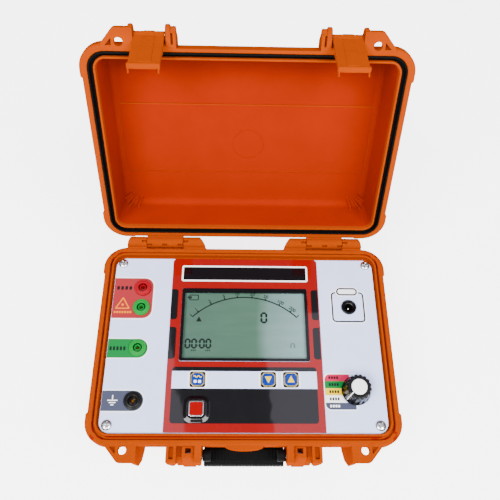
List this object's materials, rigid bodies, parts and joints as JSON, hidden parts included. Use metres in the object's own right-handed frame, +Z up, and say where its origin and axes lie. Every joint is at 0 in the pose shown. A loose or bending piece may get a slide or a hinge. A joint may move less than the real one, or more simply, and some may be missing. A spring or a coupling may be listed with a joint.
{
  "type": "insulation resistance tester",
  "caption": "Portable insulation tester in a hinged hard case: instrument panel with display, keys, range knob and test sockets under a latching lid with a folding handle.",
  "frame": {"origin": "middle of the base's flat underside, on the surface the case stands on", "axes": "+Z up, -Y to the front with the handle and catches, +X to the range selector's side, +Y to the hinges"},
  "size_m": [0.283, 0.3308, 0.2824],
  "materials": {
    "orange_plastic": "moulded polypropylene, satin outside and glossy inside the lid",
    "steel": "plain bright steel",
    "brass": "turned brass",
    "black_rubber": "soft black rubber",
    "black_plastic": "fine-textured black nylon",
    "panel_film": "pale lilac-grey printed film on the panel",
    "red_film": "glossy red printed film",
    "clear_window": "clear acrylic under a protective film",
    "liquid_crystal": "grey-green liquid crystal glass",
    "light_guide": "white diffuser",
    "blue_plastic": "blue key with a printed symbol",
    "red_plastic": "moulded red plastic",
    "green_plastic": "moulded green plastic",
    "satin_cap": "bright turned cap",
    "board": "green circuit board",
    "grey_plastic": "potted grey module"
  },
  "bodies": {
    "base": {"base_shell": "orange_plastic", "hinge_pin_left": "steel", "hinge_pin_right": "steel", "handle_pin_left": "steel", "handle_pin_right": "steel", "front_panel": "panel_film", "centre_overlay": "red_film", "display_window": "clear_window", "lcd_panel": "liquid_crystal", "lcd_backlight": "light_guide", "mode_key_switch": "black_plastic", "down_key_switch": "black_plastic", "up_key_switch": "black_plastic", "test_key_switch": "black_plastic", "test_key_surround": "black_plastic", "line_socket": "red_plastic", "line_contact": "brass", "line_nut": "steel", "check_socket": "green_plastic", "check_contact": "brass", "check_nut": "steel", "guard_socket": "green_plastic", "guard_contact": "brass", "guard_nut": "steel", "earth_socket": "black_plastic", "earth_contact": "brass", "earth_nut": "steel", "charge_socket": "black_plastic", "charge_pin": "steel", "charge_nut": "steel", "rotary_switch": "black_plastic", "selector_nut": "steel", "panel_screw_1": "steel", "panel_screw_2": "steel", "panel_screw_3": "steel", "panel_screw_4": "steel", "main_board": "board", "standoff_1": "brass", "standoff_2": "brass", "standoff_3": "brass", "standoff_4": "brass", "battery_pack": "black_plastic", "battery_strap": "steel", "high_voltage_module": "grey_plastic"},
    "lid": {"lid_shell": "orange_plastic", "lid_seal": "black_rubber", "catch_left_pin": "steel", "catch_right_pin": "steel"},
    "left_catch": {"catch_left": "orange_plastic"},
    "right_catch": {"catch_right": "orange_plastic"},
    "handle": {"handle_core": "black_plastic", "handle_grip": "black_rubber"},
    "mode_button": {"mode_key": "blue_plastic"},
    "down_button": {"down_key": "blue_plastic"},
    "up_button": {"up_key": "blue_plastic"},
    "test_button": {"test_key": "red_plastic"},
    "selector": {"selector_knob": "black_plastic", "selector_cap": "satin_cap", "selector_shaft": "steel"}
  },
  "joints": [
    {"name": "lid_hinge", "type": "hinge", "parent": "base", "child": "lid", "pos_m": [0, 0.1029, 0.086], "axis": [1, 0, 0], "range_deg": [0, 115.6]},
    {"name": "left_catch_pivot", "type": "hinge", "parent": "lid", "child": "left_catch", "pos_m": [-0.0811, 0.19741, 0.26937], "axis": [-1, 0, 0], "range_deg": [-3.5, 90]},
    {"name": "right_catch_pivot", "type": "hinge", "parent": "lid", "child": "right_catch", "pos_m": [0.0811, 0.19741, 0.26937], "axis": [-1, 0, 0], "range_deg": [-3.5, 90]},
    {"name": "handle_fold", "type": "hinge", "parent": "base", "child": "handle", "pos_m": [0, -0.103, 0.074], "axis": [-1, 0, 0], "range_deg": [0, 92]},
    {"name": "mode_key_press", "type": "slide", "parent": "base", "child": "mode_button", "axis": [0, 0, -1], "range_m": [0, 0.0012], "stiffness_N_per_m": 400},
    {"name": "down_key_press", "type": "slide", "parent": "base", "child": "down_button", "axis": [0, 0, -1], "range_m": [0, 0.0012], "stiffness_N_per_m": 400},
    {"name": "up_key_press", "type": "slide", "parent": "base", "child": "up_button", "axis": [0, 0, -1], "range_m": [0, 0.0012], "stiffness_N_per_m": 400},
    {"name": "test_key_press", "type": "slide", "parent": "base", "child": "test_button", "axis": [0, 0, -1], "range_m": [0, 0.002], "stiffness_N_per_m": 400},
    {"name": "selector_turn", "type": "hinge", "parent": "base", "child": "selector", "pos_m": [0.1017, -0.0485, 0.0867], "axis": [0, 0, -1], "range_deg": [0, 120]}
  ]
}
